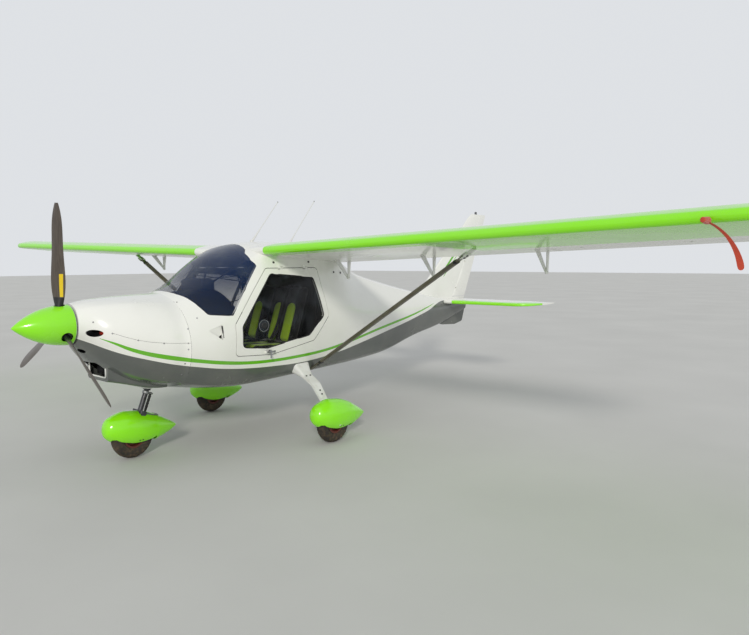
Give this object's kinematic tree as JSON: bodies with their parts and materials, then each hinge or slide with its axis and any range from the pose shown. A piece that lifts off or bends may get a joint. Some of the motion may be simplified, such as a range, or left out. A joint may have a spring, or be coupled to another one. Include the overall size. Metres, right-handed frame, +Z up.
{
  "type": "light sport aircraft",
  "caption": "Two-seat strut-braced high-wing light aircraft with tractor propeller, tricycle gear in spats, top-hinged doors, flaps and movable tail surfaces.",
  "frame": {"origin": "on the ground below the middle of the whole aircraft's box", "axes": "+Z up, -Y towards the nose, +X towards the left wing tip"},
  "size_m": [9.6664, 6.055, 2.202],
  "materials": {
    "white_composite": "gloss",
    "green_composite": "gloss",
    "grey_composite": "gloss",
    "white_metal": "satin",
    "bare_aluminium": "satin",
    "steel": "satin",
    "engine_metal": "matte",
    "screen_glass": "gloss",
    "window_glass": "gloss",
    "black_plastic": "matte",
    "seat_fabric": "matte",
    "blade_composite": "satin",
    "tyre_rubber": "matte",
    "rim_metal": "satin",
    "red_fabric": "matte",
    "lamp_plastic": "gloss"
  },
  "bodies": {
    "airframe": {"cowl_upper": "white_composite", "cowl_lower": "white_composite", "firewall": "bare_aluminium", "engine_block": "engine_metal", "cabin_shell": "white_composite", "windscreen": "screen_glass", "instrument_panel": "black_plastic", "control_sticks": "steel", "cabin_floor": "black_plastic", "seat_base": "black_plastic", "seats": "seat_fabric", "rear_bulkhead": "black_plastic", "tail_boom": "white_composite", "fin": "white_composite", "ventral_fin": "grey_composite", "tailplane": "white_composite", "wing_left": "white_composite", "wing_right": "white_composite", "flap_brackets": "white_metal", "struts": "bare_aluminium", "main_legs": "white_metal", "main_spats": "green_composite", "nose_leg": "white_metal", "roof_aerials": "white_composite", "beacon": "lamp_plastic", "pitot": "bare_aluminium", "pitot_cover": "red_fabric"},
    "propeller": {"spinner": "green_composite", "prop_hub": "bare_aluminium", "prop_blades": "blade_composite"},
    "nose_steer": {"nose_fork": "steel", "nose_spat": "green_composite"},
    "nose_wheel": {"nose_rim": "rim_metal", "nose_tyre": "tyre_rubber"},
    "main_wheel_left": {"main_rim_left": "rim_metal", "main_tyre_left": "tyre_rubber"},
    "main_wheel_right": {"main_rim_right": "rim_metal", "main_tyre_right": "tyre_rubber"},
    "door_left": {"door_left": "white_composite", "door_glass_left": "window_glass"},
    "door_right": {"door_right": "white_composite", "door_glass_right": "window_glass"},
    "flap_left": {"flap_left": "white_composite"},
    "flap_right": {"flap_right": "white_composite"},
    "aileron_left": {"aileron_left": "white_composite"},
    "aileron_right": {"aileron_right": "white_composite"},
    "elevator": {"elevator": "white_composite"},
    "rudder": {"rudder": "white_composite"}
  },
  "joints": [
    {"name": "prop_spin", "type": "hinge", "parent": "airframe", "child": "propeller", "pos_m": [0, -2.6995, 1.1], "axis": [0, 1, 0], "continuous": true},
    {"name": "nose_steering", "type": "hinge", "parent": "airframe", "child": "nose_steer", "pos_m": [0, -2.1885, 0.17], "axis": [0, 0.373, 0.9278], "range_deg": [-20, 20]},
    {"name": "nose_wheel_spin", "type": "hinge", "parent": "nose_steer", "child": "nose_wheel", "pos_m": [0, -2.1885, 0.17], "axis": [1, 0, 0], "continuous": true},
    {"name": "main_wheel_left_spin", "type": "hinge", "parent": "airframe", "child": "main_wheel_left", "pos_m": [0.896, -0.8245, 0.17], "axis": [1, 0, 0], "continuous": true},
    {"name": "main_wheel_right_spin", "type": "hinge", "parent": "airframe", "child": "main_wheel_right", "pos_m": [-0.896, -0.8245, 0.17], "axis": [1, 0, 0], "continuous": true},
    {"name": "door_left_hinge", "type": "hinge", "parent": "airframe", "child": "door_left", "pos_m": [0.53442, -0.9275, 1.4975], "axis": [0, -1, 0], "range_deg": [0, 75]},
    {"name": "door_right_hinge", "type": "hinge", "parent": "airframe", "child": "door_right", "pos_m": [-0.53442, -0.9275, 1.4975], "axis": [0, 1, 0], "range_deg": [0, 75]},
    {"name": "flap_left_hinge", "type": "hinge", "parent": "airframe", "child": "flap_left", "pos_m": [1.57621, -0.3002, 1.43483], "axis": [-0.9994, 0, -0.0337], "range_deg": [0, 32]},
    {"name": "flap_right_hinge", "type": "hinge", "parent": "airframe", "child": "flap_right", "pos_m": [-1.57621, -0.3002, 1.43483], "axis": [-0.9994, 0, 0.0337], "range_deg": [0, 32]},
    {"name": "aileron_left_hinge", "type": "hinge", "parent": "airframe", "child": "aileron_left", "pos_m": [3.60175, -0.4019, 1.69478], "axis": [-0.9994, 0, -0.0337], "range_deg": [-20, 20]},
    {"name": "aileron_right_hinge", "type": "hinge", "parent": "airframe", "child": "aileron_right", "pos_m": [-3.60175, -0.4019, 1.69478], "axis": [-0.9994, 0, 0.0337], "range_deg": [-20, 20]},
    {"name": "elevator_hinge", "type": "hinge", "parent": "airframe", "child": "elevator", "pos_m": [0, 2.3875, 1.045], "axis": [1, 0, 0], "range_deg": [-20, 25]},
    {"name": "rudder_hinge", "type": "hinge", "parent": "airframe", "child": "rudder", "pos_m": [0, 2.2485, 1.105], "axis": [0, 0.5269, 0.8499], "range_deg": [-25, 25]}
  ],
  "couplings": [
    {"joint": "rudder_hinge", "follows": "nose_steering", "ratio": -1.25},
    {"joint": "flap_right_hinge", "follows": "flap_left_hinge", "ratio": 1},
    {"joint": "aileron_right_hinge", "follows": "aileron_left_hinge", "ratio": -1}
  ]
}
